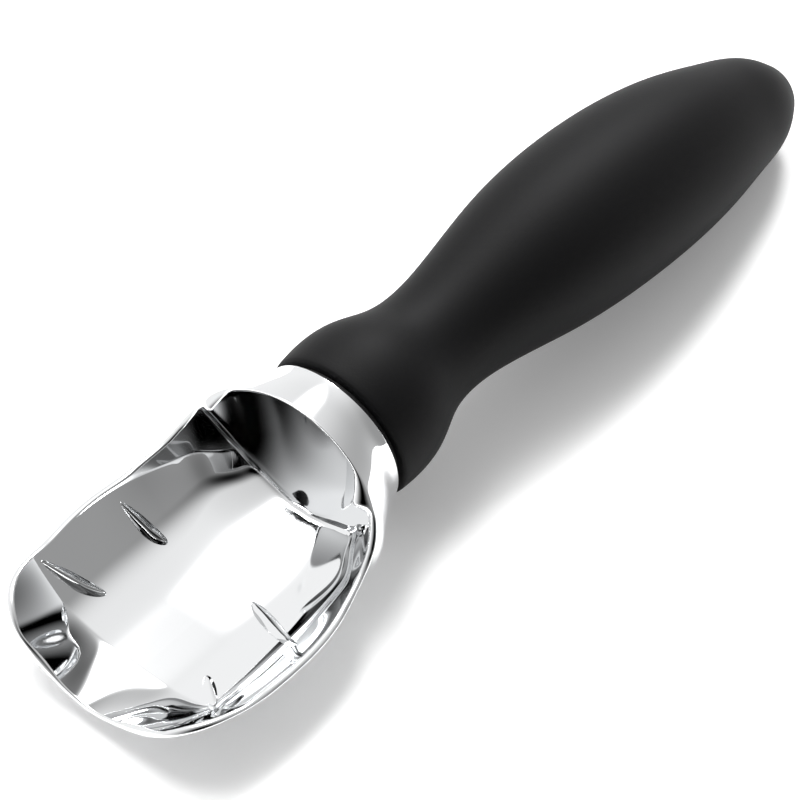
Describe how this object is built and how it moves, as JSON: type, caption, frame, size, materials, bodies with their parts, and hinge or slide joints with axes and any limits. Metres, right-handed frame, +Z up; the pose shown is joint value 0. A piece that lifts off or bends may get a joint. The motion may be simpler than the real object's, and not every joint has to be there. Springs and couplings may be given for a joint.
{
  "type": "ice cream scoop",
  "caption": "Rigid ice cream scoop: a polished open-front bowl with raised ridges and a hollow back wall, on a round soft-touch handle.",
  "frame": {"origin": "middle of the footprint, on the surface the scoop lies on", "axes": "+X along the tool from the bowl's lip to the handle's end, +Z up out of the bowl"},
  "size_m": [0.2113, 0.0574, 0.0387],
  "materials": {
    "head_chrome": "polished bright plating",
    "gasket_rubber": "matt",
    "seal_rubber": "matt",
    "core_plastic": "moulded, glass-filled",
    "screw_steel": "plain zinc plated",
    "pin_steel": "ground",
    "grip_soft_touch": "fine-grained soft touch, matt"
  },
  "bodies": {
    "root": {"scoop_head": "head_chrome", "collar_gasket": "gasket_rubber", "tang_seal": "seal_rubber", "handle_core_left": "core_plastic", "handle_core_right": "core_plastic", "core_screws": "screw_steel", "tang_pin": "pin_steel", "grip_overmould": "grip_soft_touch"}
  },
  "joints": []
}
